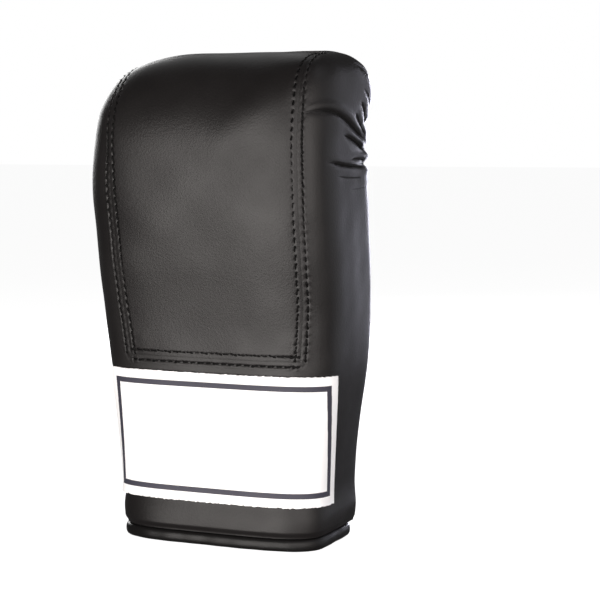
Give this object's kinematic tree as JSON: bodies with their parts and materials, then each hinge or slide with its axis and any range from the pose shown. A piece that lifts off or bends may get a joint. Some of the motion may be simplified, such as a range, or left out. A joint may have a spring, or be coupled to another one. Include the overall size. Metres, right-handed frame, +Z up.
{
  "type": "bag glove",
  "caption": "Padded leather bag mitt with a curled finger roll, a stitched back panel, a thumb opening in the palm, and a slit cuff with an elastic band and a plain badge.",
  "frame": {"origin": "under the middle of the glove, on the surface that its cuff stands on", "axes": "+Z up from the cuff to the knuckles, -Y towards the back of the hand and the badge, +Y towards the palm, +X across"},
  "size_m": [0.146, 0.0896, 0.269],
  "materials": {
    "leather": "smooth black split leather with a soft satin shine",
    "binding": "thin black leather tape, folded and stitched",
    "lining": "smooth dark lining sheet, soft satin",
    "elastic": "black woven elastic, matt",
    "badge": "white coated cloth with a dark frame line"
  },
  "bodies": {
    "root": {"center_panel": "leather", "surround_panel": "leather", "palm_panel": "leather", "opening_binding": "binding", "palm_lining": "lining", "grip_bar": "leather", "wrist_band": "elastic", "badge": "badge", "cuff_hem": "binding"}
  },
  "joints": []
}
